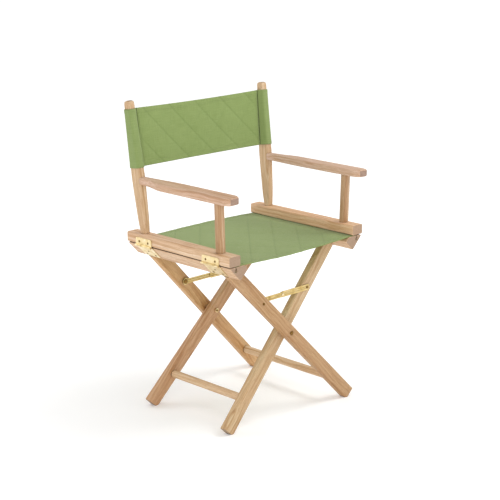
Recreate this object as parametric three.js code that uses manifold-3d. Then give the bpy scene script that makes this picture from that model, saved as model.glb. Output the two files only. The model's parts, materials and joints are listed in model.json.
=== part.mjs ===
// Folding canvas armchair: two crossed leg frames, two arm frames hinged on top of them, brass
// stays across the legs, and canvas slings for the seat and the back.
// Millimetres. +X is the sitter's left, +Y is the back, +Z is up. The origin is on the floor,
// under the middle of the chair.
import * as THREE from 'three';
import { mergeVertices } from 'three/addons/utils/BufferGeometryUtils.js';
import Module from 'manifold-3d';

const wasm = await Module();
wasm.setup();

// ---- Clearances ----
const touch = 0.3; // between two pieces that rest on each other
const running = 0.3; // round a pin or screw in its hole

// ---- Leg frames ----
const pivotHeight = 238.4; // floor to the axis on which the leg frames cross
const openHalfAngle = 44.4; // each leg from upright, degrees, when the chair is open
const splayAngle = 3.3; // front and rear legs spread towards the floor, degrees
const legWidth = 38; // across the leg, in the plane of the cross
const legThickness = 22; // front to back
const legRounding = 4;
const legGap = 9; // between the inner and the outer leg of a pair, for the stays
const innerLegSetting = 134; // middle of the chair to the middle of an inner leg, at the pivot
const footFlat = 13; // length of the flat that each foot stands on
const legTenonLength = 20; // leg into the rail
const legTenonWidth = 24;
const legTenonThickness = 11;
const outerStretcherDrop = 236; // pivot to stretcher, along the leg
const innerStretcherDrop = 220;
const stretcherRadius = 11;
const stretcherTenonRadius = 7;
const stretcherTenonLength = 13;

// ---- Rails ----
const railLength = 401; // front to back
const lowerRailWidth = 39;
const lowerRailHeight = 56; // along the leg, on the outer face
const railRounding = 4;
const railTipRounding = 8; // sharp upper edge of a lower rail
const railEndRounding = 1;
const upperRailWidth = 40.3;
const upperRailHeight = 27.9;

// ---- Hinges between the lower and the upper rails ----
const pinReach = 352.9; // pivot to hinge pin, along the leg
const pinStandOff = 3.5; // rail faces to the hinge pin
const pinRadius = 1.4;
const barrelRadius = 3.2;
const leafThickness = 1.5;
const leafWidth = 64; // front to back
const leafCorner = 5;
const upperLeafHeight = 22;
const lowerLeafHeight = 50;
const knuckleCount = 5;
const knuckleGap = 0.4;
const hingeSetting = 131; // middle of the chair to the middle of a hinge
const hingeScrewHeight = 11; // pin to the screws of the upper leaf
const hingeScrewSetting = 17.5; // middle of a hinge to its screws
const hingeScrewRadius = 1.6;
const hingeScrewLength = 13;
const hingeScrewHead = 3.4;

// ---- Slings ----
const seatLength = 396; // front to back
const seatSag = 3;
const canvasThickness = 1.4;
const rodRadius = 2.4; // wooden rod in the hem of the seat
const rodPlay = 0.5; // round the rod in its hem
const groovePlay = 0.5; // round the hem in its groove
const grooveInset = 24; // rail edge to groove, inwards
const grooveDepth = 9.5; // top of the lower rail to the groove
const grooveSlot = 3; // slot from the groove up to the top of the rail
const sagStart = 54; // rail edge to where the seat leaves the rail
const backTop = 340; // above the rail, along the post
const backBottom = 181;
const sleevePlay = 0.6;

// ---- Arm frames ----
const armLean = 2; // outwards, degrees
const postInset = 19.5; // outer face of the upper rail to the middle of the posts
const frontPostY = -148.3;
const postThickness = 22; // across the chair
const frontPostDepth = 21; // front to back
const frontPostRounding = 7;
const postTenonRadius = 7.5;
const postTenonLength = 18;
const armrestHeight = 136.2; // top of the upper rail to the underside of the armrest
const armrestThickness = 20;
const armrestRounding = 4;
const armrestOutside = 28; // middle of the post to the outer edge of the armrest
const armrestInside = 20.4; // middle of the post to its inner edge
const armrestFrontY = -211;
const armrestRearY = 152;
const armrestChamferLength = 16;
const armrestChamferWidth = 9;
const armrestNeck = 22; // width of the narrow rear end
const neckEndY = 118; // where the neck ends on the outer side
const shoulderEndY = 60; // where the outer side has its full width
const taperStartY = 125; // where the inner side starts to widen
const taperEndY = 25; // where the inner side has its full width
const armTenonRadius = 5;
const armTenonLength = 11;
const backPostY = 146.8; // middle of the back post where it meets the rail
const backPostRake = 6.75; // backwards, degrees
const backPostLength = 362.5; // above the rail, along the post
const backPostRounding = 5;
const backPostTipRounding = 8;
// [height above the rail, depth front to back] from the foot of a back post to its tip
const backPostDepths = [[-4, 17], [8, 19.5], [40, 27], [95, 32], [150, 36], [185, 34], [270, 28],
  [backPostLength, 22]];

// ---- Stays ----
const stayReach = 143.5; // pivot to the end of a stay, along the leg
const outerStayWidth = 14;
const innerStayWidth = 17;
const outerStayEye = 10; // radius of the end on its leg
const stayThickness = 1.2;
const stayInset = 1.2; // links lie further in than the middle of the gap between the legs
const stayPlay = 0.4; // between the two links
const stayPinRadius = 2.2;
const outerStayHead = 7; // radius of the screw's head
const innerStayHead = 4.2;
const stayRivetHead = 4.6;
const stayHeadHeight = 1.6;
const stayEndRadius = 3.8;
const stayEndHeight = 1.5;

// ---- Pivot bolts ----
const boltRadius = 3;
const boltHeadRadius = 6;
const boltHeadHeight = 2.4;
const nutRadius = 6.5;
const nutHeight = 4.5;
const spacerRadius = 13;

// ---- Derived places, on the sitter's left ----
const openAngle = THREE.MathUtils.degToRad(openHalfAngle);
const splay = THREE.MathUtils.degToRad(splayAngle);
const lean = THREE.MathUtils.degToRad(armLean);
const rake = THREE.MathUtils.degToRad(backPostRake);
const sine = Math.sin(openAngle);
const cosine = Math.cos(openAngle);
const railGap = canvasThickness + 2 * touch;
const pinAcross = legWidth / 2 + pinStandOff;
const pinX = pinAcross * cosine + pinReach * sine;
const pinZ = pivotHeight - pinAcross * sine + pinReach * cosine;
const railFaceX = pinX - pinStandOff;
const splitZ = pinZ + pinStandOff * Math.tan(openAngle / 2); // between the two rails
const lowerRailTop = splitZ - railGap / 2;
const upperRailBottom = splitZ + railGap / 2;
const upperRailTop = upperRailBottom + upperRailHeight;
const postX = railFaceX - postInset;
const outerLegSetting = innerLegSetting + legThickness + legGap;
const grooveX = railFaceX - grooveInset;
const grooveZ = lowerRailTop - grooveDepth;
const hemRadius = rodRadius + rodPlay + canvasThickness;
const grooveRadius = hemRadius + groovePlay;
const stayY = innerLegSetting + (legThickness + legGap) / 2 - Math.tan(splay) * stayReach
  - stayInset; // where the two links meet
const stayEndX = stayReach * sine;
const stayEndZ = pivotHeight + stayReach * cosine;
const beyond = 60; // how far cutting tools run past what they cut
const wide = 900; // size of cutting tools that go right across the chair
const speck = 0.01; // detail smaller than this is left out

// ---- Solids ----
function solid(geometry) {
  const bare = geometry.clone();
  bare.deleteAttribute('normal');
  bare.deleteAttribute('uv');
  const merged = mergeVertices(bare, 1e-4);
  return new wasm.Manifold(new wasm.Mesh({
    numProp: 3,
    vertProperties: new Float32Array(merged.attributes.position.array),
    triVerts: new Uint32Array(merged.index.array),
  }));
}

function geometryOf(manifold) {
  const mesh = manifold.asOriginal().simplify(speck).getMesh();
  const geometry = new THREE.BufferGeometry();
  geometry.setAttribute('position', new THREE.BufferAttribute(mesh.vertProperties, 3));
  geometry.setIndex(new THREE.BufferAttribute(mesh.triVerts, 1));
  return geometry;
}

function cut(geometry, ...tools) {
  return geometryOf(tools.reduce((body, tool) => body.subtract(solid(tool)), solid(geometry)));
}

function join(geometry, ...others) {
  return geometryOf(others.reduce((body, other) => body.add(solid(other)), solid(geometry)));
}

function overlap(geometry, other) {
  return geometryOf(solid(geometry).intersect(solid(other)));
}

// The same solid seen in a mirror across X = 0 or Y = 0.
function mirror(geometry, axis) {
  const normal = axis === 'x' ? [1, 0, 0] : [0, 1, 0];
  return geometryOf(solid(geometry).mirror(normal));
}

// Closed outline through [a, b, radius] points, each corner rounded to its radius.
function roundedOutline(points) {
  const shape = new THREE.Shape();
  points.forEach(([a, b, radius], i) => {
    const corner = new THREE.Vector2(a, b);
    const before = points[(i + points.length - 1) % points.length];
    const after = points[(i + 1) % points.length];
    const start = new THREE.Vector2(before[0], before[1]).sub(corner).setLength(radius);
    const end = new THREE.Vector2(after[0], after[1]).sub(corner).setLength(radius);
    start.add(corner);
    end.add(corner);
    if (i === 0) shape.moveTo(start.x, start.y);
    else shape.lineTo(start.x, start.y);
    if (radius > 0) shape.quadraticCurveTo(corner.x, corner.y, end.x, end.y);
  });
  shape.closePath();
  return shape;
}

function rectangle(width, height, radius) {
  const [a, b] = [width / 2, height / 2];
  return roundedOutline([[-a, -b, radius], [a, -b, radius], [a, b, radius], [-a, b, radius]]);
}

// Extrusion of a flat outline from Z = 0 up, with rounded rims.
function extrude(shape, length, rim = 0, segments = 2) {
  return new THREE.ExtrudeGeometry(shape, {
    depth: length - 2 * rim,
    bevelEnabled: rim > 0,
    bevelThickness: rim,
    bevelSize: rim,
    bevelOffset: -rim,
    bevelSegments: rim > 3 ? 3 : 2,
    curveSegments: segments,
  }).translate(0, 0, rim);
}

// The same, with the outline in the XZ plane and the extrusion along Y, from its middle.
function extrudeAlongY(shape, length, rim = 0, segments = 2) {
  return extrude(shape, length, rim, segments).translate(0, 0, -length / 2).rotateX(Math.PI / 2);
}

// The same, with the outline in the YZ plane and the extrusion along X, from its middle.
function extrudeAlongX(shape, length, rim = 0, segments = 2) {
  const turn = new THREE.Matrix4().makeBasis(
    new THREE.Vector3(0, 1, 0), new THREE.Vector3(0, 0, 1), new THREE.Vector3(1, 0, 0));
  return extrude(shape, length, rim, segments).translate(0, 0, -length / 2).applyMatrix4(turn);
}

// Turned solid about Z through [radius, height] points, bottom to top.
function turned(points, sides = 12) {
  const profile = points.map(([radius, height]) => new THREE.Vector2(radius, height));
  return new THREE.LatheGeometry(profile, sides).rotateX(Math.PI / 2);
}

function cylinder(radius, from, to, sides = 12) {
  return turned([[0, from], [radius, from], [radius, to], [0, to]], sides);
}

// Turned solids point outwards along -Y, which is the front.
function towardsFront(geometry) {
  return geometry.rotateX(Math.PI / 2);
}

// ---- Leg frames ----
// Leg axes: origin on the pivot axis, +Z up along the legs, +X out of the outer face.
function placeOnLegs(geometry) {
  return geometry.rotateY(openAngle).translate(0, 0, pivotHeight);
}

function legAxisHeight(across, chairZ) {
  return (chairZ - pivotHeight + across * sine) / cosine;
}

const railBottomOnLeg = legAxisHeight(legWidth / 2, splitZ) - lowerRailHeight;

function spreadY(setting, drop) {
  return setting + Math.tan(splay) * drop;
}

// A front leg. The rear one is its mirror image.
function leg(setting, stretcherDrop) {
  const foot = -(pivotHeight + (footFlat * cosine - legWidth / 2) * sine) / cosine;
  const body = extrude(rectangle(legWidth, legThickness, legRounding),
    railBottomOnLeg - foot + beyond / 2, 1.5).translate(0, 0, foot);
  const above = new THREE.BoxGeometry(wide, wide, 2 * beyond)
    .translate(0, 0, railBottomOnLeg - touch + beyond);
  const floor = new THREE.BoxGeometry(wide, wide, 2 * beyond)
    .translate(0, 0, -beyond - pivotHeight).rotateY(-openAngle);
  const trimmed = cut(body.rotateX(-splay).translate(0, -setting, 0), above, floor);
  const stretcherHole = towardsFront(cylinder(stretcherTenonRadius + running, -beyond,
    spreadY(setting, stretcherDrop) - legThickness / 2 + stretcherTenonLength + touch + 1))
    .translate(0, 0, -stretcherDrop);
  const boltHole = towardsFront(cylinder(boltRadius + running, 0, outerLegSetting + beyond));
  const stayHole = towardsFront(cylinder(stayPinRadius + running, 0, outerLegSetting + beyond))
    .translate(0, 0, stayReach);
  return placeOnLegs(cut(join(trimmed, legTenon(setting, 0)), stretcherHole, boltHole, stayHole));
}

// The tongue of a front leg in its rail, or with a clearance the slot it goes in.
function legTenon(setting, clearance) {
  const length = legTenonLength + clearance + beyond / 4;
  return new THREE.BoxGeometry(legTenonWidth + 2 * clearance, legTenonThickness + 2 * clearance,
    length).translate(0, 0, railBottomOnLeg + legTenonLength + clearance - length / 2)
    .rotateX(-splay).translate(0, -setting, 0);
}

function lowerRail(setting) {
  const outer = legWidth / 2;
  const inner = outer - lowerRailWidth;
  const outline = roundedOutline([
    [inner, railBottomOnLeg, railRounding],
    [outer, railBottomOnLeg, railRounding],
    [outer, legAxisHeight(outer, lowerRailTop), railTipRounding],
    [inner, legAxisHeight(inner, lowerRailTop), railRounding],
  ]);
  const slot = legTenon(setting, running);
  const rail = cut(extrudeAlongY(outline, railLength, railEndRounding), slot, mirror(slot, 'y'));
  const groove = towardsFront(cylinder(grooveRadius, -railLength, railLength))
    .translate(grooveX, 0, grooveZ);
  const mouth = new THREE.BoxGeometry(grooveSlot, railLength + beyond, 2 * grooveDepth)
    .translate(grooveX, 0, grooveZ + grooveDepth);
  return cut(placeOnLegs(rail), groove, mouth);
}

function stretcher(setting, drop) {
  const face = spreadY(setting, drop) - legThickness / 2 / Math.cos(splay);
  const shoulder = face - touch - stretcherRadius * Math.tan(splay);
  const end = face + stretcherTenonLength;
  return placeOnLegs(towardsFront(turned([
    [0, -end], [stretcherTenonRadius, -end], [stretcherTenonRadius, -shoulder],
    [stretcherRadius - 1, -shoulder], [stretcherRadius, -shoulder + 1],
    [stretcherRadius, shoulder - 1], [stretcherRadius - 1, shoulder],
    [stretcherTenonRadius, shoulder], [stretcherTenonRadius, end], [0, end],
  ])).translate(0, 0, -drop));
}

// ---- Hinges ----
// Leaf axes: pin on the Y axis, +Z up the leaf, +X away from the rail.
const knuckleLength = (leafWidth - (knuckleCount - 1) * knuckleGap) / knuckleCount;

function knuckleY(i) {
  return (i - (knuckleCount - 1) / 2) * (knuckleLength + knuckleGap);
}

function barrel(radius, i, extra) {
  const half = knuckleLength / 2 + extra;
  return towardsFront(cylinder(radius, -half, half, 10)).translate(0, knuckleY(i), 0);
}

function hingeScrewForm(clearance) {
  const neck = -leafThickness - touch;
  return turned([[0, -hingeScrewLength - clearance], [hingeScrewRadius + clearance,
    -hingeScrewLength - clearance], [hingeScrewRadius + clearance, neck],
  [hingeScrewHead + clearance, clearance], [hingeScrewHead * 0.6 + clearance,
    0.5 + 4 * clearance], [0, 0.7 + 4 * clearance]], 8)
    .rotateY(Math.PI / 2).translate(leafThickness - pinStandOff + touch, 0, hingeScrewHeight);
}

function leaf(height, ownParity, screws) {
  const outline = roundedOutline([
    [-leafWidth / 2, 0, 0], [leafWidth / 2, 0, 0],
    [leafWidth / 2, height, leafCorner], [-leafWidth / 2, height, leafCorner],
  ]);
  const back = touch - pinStandOff;
  let plate = extrudeAlongX(outline, leafThickness).translate(back + leafThickness / 2, 0, 0);
  for (let i = 0; i < knuckleCount; i += 1) {
    plate = i % 2 === ownParity ? join(plate, barrel(barrelRadius, i, 0))
      : cut(plate, barrel(barrelRadius + knuckleGap, i, knuckleGap));
  }
  const bore = towardsFront(cylinder(pinRadius + running, -leafWidth, leafWidth, 8));
  const holes = screws.map((y) => hingeScrewForm(running).translate(0, y, 0));
  return cut(plate, bore, ...holes);
}

function placeHinge(geometry) {
  return geometry.translate(pinX, -hingeSetting, pinZ);
}

function upperLeaf() {
  return placeHinge(leaf(upperLeafHeight, 0, [-hingeScrewSetting, hingeScrewSetting]));
}

function lowerLeaf() {
  const flipped = leaf(lowerLeafHeight, 1, []).rotateX(Math.PI).rotateY(openAngle);
  return placeHinge(flipped);
}

function hingePin() {
  const half = leafWidth / 2;
  return placeHinge(towardsFront(turned([
    [0, -half - 1.2], [pinRadius, -half - 0.8], [pinRadius, half + 0.8], [0, half + 1.2],
  ], 8)));
}

function hingeScrew(y) {
  return placeHinge(hingeScrewForm(0).translate(0, y, 0));
}

// ---- Arm frames ----
// Post axes: origin where the middle of the posts meets the top of the rail, +Z up the posts.
function placeOnRail(geometry, y) {
  return geometry.rotateY(lean).translate(postX, y, upperRailTop);
}

function belowRailTop() {
  return new THREE.BoxGeometry(4 * beyond, wide, 2 * beyond)
    .translate(postX, 0, upperRailTop + touch - beyond);
}

function postTenon(clearance) {
  return cylinder(postTenonRadius + clearance, -postTenonLength - clearance, 6);
}

function frontPost() {
  const height = armrestHeight - touch;
  const body = extrude(rectangle(postThickness, frontPostDepth, frontPostRounding),
    height + 4).translate(0, 0, -4);
  const trimmed = cut(placeOnRail(body, frontPostY), belowRailTop());
  const topTenon = cylinder(armTenonRadius, height - 4, height + armTenonLength);
  return join(trimmed, placeOnRail(postTenon(0), frontPostY), placeOnRail(topTenon, frontPostY));
}

// Outline and body of a back post, grown all round by a clearance.
function backPostForm(clearance) {
  const side = (sign) => backPostDepths.map(([height, depth]) =>
    new THREE.Vector2(sign * (depth / 2 + clearance), height));
  const front = side(-1);
  const rear = side(1).reverse();
  const tip = backPostLength + clearance;
  const corner = backPostTipRounding;
  const shape = new THREE.Shape();
  front[front.length - 1].y -= corner;
  rear[0].y -= corner;
  shape.moveTo(front[0].x, front[0].y);
  shape.splineThru(front.slice(1));
  shape.quadraticCurveTo(front[front.length - 1].x, tip, front[front.length - 1].x + corner, tip);
  shape.lineTo(rear[0].x - corner, tip);
  shape.quadraticCurveTo(rear[0].x, tip, rear[0].x, rear[0].y);
  shape.splineThru(rear.slice(1));
  shape.closePath();
  return extrudeAlongX(shape, postThickness + 2 * clearance, backPostRounding, 2)
    .rotateX(-rake);
}

function armTenonForm(clearance) {
  const y = armrestRearY + armTenonLength + clearance - backPostY;
  return towardsFront(cylinder(armTenonRadius + clearance, -y, beyond / 2))
    .translate(0, 0, armrestHeight + armrestThickness / 2);
}

function backPost() {
  const trimmed = cut(placeOnRail(backPostForm(0), backPostY), belowRailTop(),
    placeOnRail(armTenonForm(running), backPostY));
  return join(trimmed, placeOnRail(postTenon(0).rotateX(-rake), backPostY));
}

function armrest() {
  const [outside, inside, neck] = [armrestOutside, -armrestInside, armrestNeck / 2];
  const outline = roundedOutline([
    [inside, armrestFrontY + armrestChamferLength, 6],
    [inside + armrestChamferWidth, armrestFrontY, 6],
    [outside - armrestChamferWidth, armrestFrontY, 6],
    [outside, armrestFrontY + armrestChamferLength, 6],
    [outside, shoulderEndY, 12],
    [neck + 1, neckEndY - 6, 12],
    [neck, armrestRearY, 0],
    [-neck, armrestRearY, 0],
    [-neck - 1, taperStartY, 20],
    [inside, taperEndY, 30],
  ]);
  const body = extrude(outline, armrestThickness, armrestRounding)
    .translate(0, 0, armrestHeight);
  const postHole = cylinder(armTenonRadius + running, armrestHeight - beyond,
    armrestHeight + armTenonLength + touch).translate(0, frontPostY, 0);
  const coped = cut(placeOnRail(body, 0), placeOnRail(postHole, 0),
    placeOnRail(backPostForm(touch), backPostY));
  return join(coped, placeOnRail(armTenonForm(0), backPostY));
}

function upperRail() {
  const rail = extrudeAlongY(rectangle(upperRailWidth, upperRailHeight, railRounding), railLength,
    railEndRounding).translate(railFaceX - upperRailWidth / 2, 0,
    upperRailBottom + upperRailHeight / 2);
  const holes = [
    placeOnRail(postTenon(running), frontPostY),
    placeOnRail(postTenon(running).rotateX(-rake), backPostY),
  ];
  [-hingeScrewSetting, hingeScrewSetting].forEach((y) => {
    const hole = placeHinge(hingeScrewForm(running).translate(0, y, 0));
    holes.push(hole, mirror(hole, 'y'));
  });
  return cut(rail, ...holes);
}

// ---- Slings ----
// Flat strip of canvas along a path in the XZ plane, extruded along Y.
function strip(path, length) {
  const half = canvasThickness / 2;
  const sides = path.map((point, i) => {
    const before = path[Math.max(i - 1, 0)];
    const after = path[Math.min(i + 1, path.length - 1)];
    const along = new THREE.Vector2().subVectors(after, before).normalize();
    return new THREE.Vector2(-along.y, along.x).multiplyScalar(half);
  });
  const upper = path.map((point, i) => point.clone().add(sides[i]));
  const lower = path.map((point, i) => point.clone().sub(sides[i])).reverse();
  return extrudeAlongY(new THREE.Shape([...upper, ...lower]), length);
}

function seatSling() {
  const start = railFaceX - sagStart;
  const path = [new THREE.Vector2(grooveX + canvasThickness / 2, splitZ)];
  const steps = 8;
  for (let i = -steps; i <= steps; i += 1) {
    const t = i / steps;
    path.push(new THREE.Vector2(-t * start, splitZ - seatSag * (1 - t * t)));
  }
  path.push(new THREE.Vector2(-grooveX - canvasThickness / 2, splitZ));
  const hem = towardsFront(cylinder(hemRadius, -seatLength / 2, seatLength / 2))
    .translate(grooveX, 0, grooveZ);
  const neck = new THREE.BoxGeometry(canvasThickness, seatLength, splitZ - grooveZ)
    .translate(grooveX, 0, (splitZ + grooveZ) / 2);
  const pocket = towardsFront(cylinder(rodRadius + rodPlay, -seatLength, seatLength))
    .translate(grooveX, 0, grooveZ);
  const joined = join(strip(path, seatLength), hem, neck, mirror(hem, 'x'), mirror(neck, 'x'));
  return cut(joined, pocket, mirror(pocket, 'x'));
}

function seatRod() {
  const half = seatLength / 2 + 2;
  return towardsFront(cylinder(rodRadius, -half, half, 12)).translate(grooveX, 0, grooveZ);
}

function backSling() {
  const height = backTop - backBottom;
  const slab = (width, depth) => new THREE.BoxGeometry(width, depth, height)
    .translate(0, 0, (backTop + backBottom) / 2).rotateX(-rake)
    .translate(0, backPostY, upperRailTop);
  const sleeve = placeOnRail(backPostForm(sleevePlay + canvasThickness), backPostY);
  const post = placeOnRail(backPostForm(sleevePlay), backPostY);
  const panel = slab(2 * postX, canvasThickness);
  const sleeves = overlap(join(sleeve, mirror(sleeve, 'x')), slab(wide, 2 * beyond));
  return cut(join(sleeves, panel), post, mirror(post, 'x'));
}

// ---- Stays ----
// A link reaches from the screw in its leg to the middle of the chair. The two links of a pair
// lie in two layers, +1 further out and -1 further in.
const stayLayer = (stayPlay + stayThickness) / 2;

function stayLink(width, eye) {
  const half = width / 2;
  const outline = roundedOutline([
    [-stayEndX - half, -half, half * 0.95], [half, -half, half * 0.95],
    [half, half, half * 0.95], [-stayEndX - half, half, half * 0.95],
  ]);
  const bar = extrudeAlongY(outline, stayThickness, 0, 4);
  const disc = towardsFront(cylinder(eye, -stayThickness / 2, stayThickness / 2))
    .translate(-stayEndX, 0, 0);
  return join(bar, disc);
}

function placeStay(geometry, layer) {
  return geometry.translate(0, -stayY - layer * stayLayer, stayEndZ);
}

function outerStay() {
  const hole = towardsFront(cylinder(stayPinRadius + running, -beyond, beyond, 12));
  const endHole = hole.clone().translate(-stayEndX, 0, 0);
  return placeStay(cut(stayLink(outerStayWidth, outerStayEye), hole, endHole), 1);
}

function innerStay() {
  const endHole = towardsFront(cylinder(stayPinRadius + running, -beyond, beyond, 12))
    .translate(-stayEndX, 0, 0);
  return placeStay(cut(stayLink(innerStayWidth, innerStayWidth / 2), endHole), -1);
}

// Screw through a link and its leg: away is +1 where the leg is further out than the link.
function stayScrew(setting, away, head) {
  const legMiddle = spreadY(setting, -stayReach) - stayY;
  const legFar = away * legMiddle + legThickness / 2 / Math.cos(splay);
  const start = stayLayer - stayThickness / 2 - touch - stayHeadHeight;
  const end = legFar + touch + stayEndRadius * Math.tan(splay);
  const screw = turned([[0, start], [head * 0.7, start],
    [head, start + stayHeadHeight * 0.6], [head, start + stayHeadHeight],
    [stayPinRadius, start + stayHeadHeight], [stayPinRadius, end], [stayEndRadius, end],
    [stayEndRadius * 0.8, end + stayEndHeight], [0, end + stayEndHeight]], 12);
  const faced = away > 0 ? screw : screw.rotateX(Math.PI);
  return towardsFront(faced).translate(-stayEndX, -stayY, stayEndZ);
}

function stayRivet() {
  const inside = stayLayer - stayThickness / 2;
  const outside = stayLayer + stayThickness / 2 + touch;
  return towardsFront(turned([[0, inside], [stayPinRadius, inside], [stayPinRadius, outside],
    [stayRivetHead, outside], [stayRivetHead, outside + stayHeadHeight * 0.4],
    [stayRivetHead * 0.6, outside + stayHeadHeight], [0, outside + stayHeadHeight]], 12))
    .translate(0, -stayY, stayEndZ);
}

// ---- Pivots ----
function placeOnPivot(geometry) {
  return towardsFront(geometry).translate(0, 0, pivotHeight);
}

function pivotBolt() {
  const slack = touch + boltHeadRadius * Math.tan(splay);
  const head = outerLegSetting + legThickness / 2 / Math.cos(splay) + slack;
  const end = innerLegSetting - legThickness / 2 - slack - nutHeight - 2;
  return placeOnPivot(turned([[0, end], [boltRadius, end], [boltRadius, head],
    [boltHeadRadius, head], [boltHeadRadius, head + boltHeadHeight * 0.4],
    [boltHeadRadius * 0.6, head + boltHeadHeight], [0, head + boltHeadHeight]]));
}

function pivotNut() {
  const near = innerLegSetting - legThickness / 2 / Math.cos(splay) - touch
    - nutRadius * Math.tan(splay);
  const hexagon = cylinder(nutRadius, near - nutHeight, near, 6);
  return placeOnPivot(cut(hexagon, cylinder(boltRadius + running, 0, near + beyond)));
}

function pivotSpacer() {
  const middle = innerLegSetting + (legThickness + legGap) / 2;
  const half = legGap / 2 - touch - spacerRadius * Math.tan(splay) - legThickness / 2
    * (1 / Math.cos(splay) - 1);
  const disc = cylinder(spacerRadius, middle - half, middle + half);
  return placeOnPivot(cut(disc, cylinder(boltRadius + running, 0, middle + beyond)));
}

// ---- The chair ----
const looks = {
  wood: new THREE.MeshStandardMaterial({ color: 0xd6b491, roughness: 0.6, metalness: 0 }),
  brass: new THREE.MeshStandardMaterial({ color: 0xc9a24b, roughness: 0.35, metalness: 1 }),
  canvas: new THREE.MeshStandardMaterial({ color: 0x91a46c, roughness: 0.9, metalness: 0 }),
  rod: new THREE.MeshStandardMaterial({ color: 0xcbb08a, roughness: 0.7, metalness: 0 }),
};

const chair = new THREE.Group();
chair.name = 'folding_chair';

function add(name, look, geometry) {
  const mesh = new THREE.Mesh(geometry, looks[look]);
  mesh.name = name;
  chair.add(mesh);
}

// Left is +X. Everything is drawn on the left and at the front, and mirrored from there.
function onSide(geometry, side) {
  return side === 'left' ? geometry : mirror(geometry, 'x');
}

function addFrontAndRear(name, look, geometry, side) {
  const front = onSide(geometry, side);
  add(`${name}_front`, look, front);
  add(`${name}_rear`, look, mirror(front, 'y'));
}

const frames = [
  { name: 'outer', side: 'right', setting: outerLegSetting, drop: outerStretcherDrop },
  { name: 'inner', side: 'left', setting: innerLegSetting, drop: innerStretcherDrop },
];

frames.forEach(({ name, side, setting, drop }) => {
  add(`${name}_lower_rail`, 'wood', onSide(lowerRail(setting), side));
  addFrontAndRear(`${name}_leg`, 'wood', leg(setting, drop), side);
  add(`${name}_stretcher`, 'wood', onSide(stretcher(setting, drop), side));
  add(`${name}_seat_rod`, 'rod', onSide(seatRod(), side));
});

['left', 'right'].forEach((side) => {
  add(`${side}_upper_rail`, 'wood', onSide(upperRail(), side));
  add(`${side}_front_post`, 'wood', onSide(frontPost(), side));
  add(`${side}_back_post`, 'wood', onSide(backPost(), side));
  add(`${side}_armrest`, 'wood', onSide(armrest(), side));
  addFrontAndRear(`${side}_upper_leaf`, 'brass', upperLeaf(), side);
  addFrontAndRear(`${side}_lower_leaf`, 'brass', lowerLeaf(), side);
  addFrontAndRear(`${side}_hinge_pin`, 'brass', hingePin(), side);
  addFrontAndRear(`${side}_hinge_screw_a`, 'brass', hingeScrew(-hingeScrewSetting), side);
  addFrontAndRear(`${side}_hinge_screw_b`, 'brass', hingeScrew(hingeScrewSetting), side);
});

// The outer legs hold the links on the right, and the inner legs those on the left. Links and
// their screws are drawn on the right.
addFrontAndRear('outer_stay', 'brass', outerStay(), 'left');
addFrontAndRear('inner_stay', 'brass', innerStay(), 'right');
addFrontAndRear('outer_stay_screw', 'brass', stayScrew(outerLegSetting, 1, outerStayHead), 'left');
addFrontAndRear('inner_stay_screw', 'brass', stayScrew(innerLegSetting, -1, innerStayHead),
  'right');
addFrontAndRear('stay_rivet', 'brass', stayRivet(), 'left');

addFrontAndRear('pivot_bolt', 'brass', pivotBolt(), 'left');
addFrontAndRear('pivot_nut', 'brass', pivotNut(), 'left');
addFrontAndRear('pivot_spacer', 'wood', pivotSpacer(), 'left');

add('seat_sling', 'canvas', seatSling());
add('back_sling', 'canvas', backSling());

export default chair;
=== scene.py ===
import json
import math

import bmesh
import bpy
import numpy as np
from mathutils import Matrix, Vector


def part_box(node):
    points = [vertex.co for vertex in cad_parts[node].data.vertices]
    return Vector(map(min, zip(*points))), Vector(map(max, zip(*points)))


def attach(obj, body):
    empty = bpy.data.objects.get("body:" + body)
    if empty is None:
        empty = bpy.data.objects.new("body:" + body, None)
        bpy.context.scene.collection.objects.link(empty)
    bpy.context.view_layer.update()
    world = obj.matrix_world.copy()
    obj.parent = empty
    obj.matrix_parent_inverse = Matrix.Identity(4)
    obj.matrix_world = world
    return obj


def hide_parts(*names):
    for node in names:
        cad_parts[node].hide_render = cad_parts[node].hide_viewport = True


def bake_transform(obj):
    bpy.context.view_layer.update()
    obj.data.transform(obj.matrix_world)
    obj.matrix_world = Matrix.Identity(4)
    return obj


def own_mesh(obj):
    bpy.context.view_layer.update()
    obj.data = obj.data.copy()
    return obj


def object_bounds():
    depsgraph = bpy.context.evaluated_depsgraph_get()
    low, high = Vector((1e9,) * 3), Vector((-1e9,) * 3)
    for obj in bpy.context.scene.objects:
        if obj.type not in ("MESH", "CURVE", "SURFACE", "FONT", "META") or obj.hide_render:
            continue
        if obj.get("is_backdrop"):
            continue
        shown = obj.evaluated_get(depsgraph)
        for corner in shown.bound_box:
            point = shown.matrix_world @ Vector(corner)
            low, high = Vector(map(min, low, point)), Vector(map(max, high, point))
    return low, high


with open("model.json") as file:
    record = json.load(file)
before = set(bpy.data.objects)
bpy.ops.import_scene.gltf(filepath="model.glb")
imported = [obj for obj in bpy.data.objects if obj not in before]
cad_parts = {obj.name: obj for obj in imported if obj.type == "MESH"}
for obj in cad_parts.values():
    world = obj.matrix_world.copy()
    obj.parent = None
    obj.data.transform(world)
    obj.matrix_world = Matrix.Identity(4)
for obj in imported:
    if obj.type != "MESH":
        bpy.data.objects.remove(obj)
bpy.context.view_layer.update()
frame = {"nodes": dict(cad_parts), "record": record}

NODES = frame["nodes"]
SCENE = bpy.context.scene

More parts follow.
